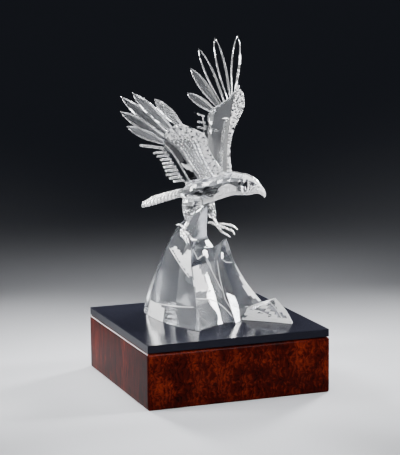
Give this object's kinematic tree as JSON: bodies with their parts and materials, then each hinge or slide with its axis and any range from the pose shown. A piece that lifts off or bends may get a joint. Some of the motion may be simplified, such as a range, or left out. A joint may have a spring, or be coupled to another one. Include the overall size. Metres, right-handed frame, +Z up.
{
  "type": "crystal eagle figurine",
  "caption": "Cut crystal eagle with raised wings landing on a peaked crystal rock, on a square burl wood plinth with a black gloss top.",
  "frame": {"origin": "centre of the plinth's underside", "axes": "+Z up, +X to the right along the plinth's front, -Y towards the viewer at the plinth's front; the eagle flies towards +X, turned 35 degrees to the front"},
  "size_m": [0.16, 0.16, 0.2937],
  "materials": {
    "burl_wood": "reddish-brown burl veneer under high gloss lacquer",
    "black_gloss": "black, polished to a mirror gloss",
    "rock_crystal": "clear polished crystal",
    "crystal": "clear cut crystal, feather texture ground matt on the leading edges and tail",
    "silver": "cast metal, satin silver"
  },
  "bodies": {
    "root": {"plinth_box": "burl_wood", "plinth_top": "black_gloss", "rock": "rock_crystal", "body": "crystal", "head": "crystal", "tail": "crystal", "right_wing": "crystal", "left_wing": "crystal", "right_primary_1": "crystal", "right_primary_2": "crystal", "right_primary_3": "crystal", "right_primary_4": "crystal", "right_primary_5": "crystal", "left_primary_1": "crystal", "left_primary_2": "crystal", "left_primary_3": "crystal", "left_primary_4": "crystal", "left_primary_5": "crystal", "right_secondaries": "crystal", "left_secondaries": "crystal", "right_thigh": "crystal", "left_thigh": "crystal", "right_foot": "silver", "left_foot": "silver"}
  },
  "joints": []
}
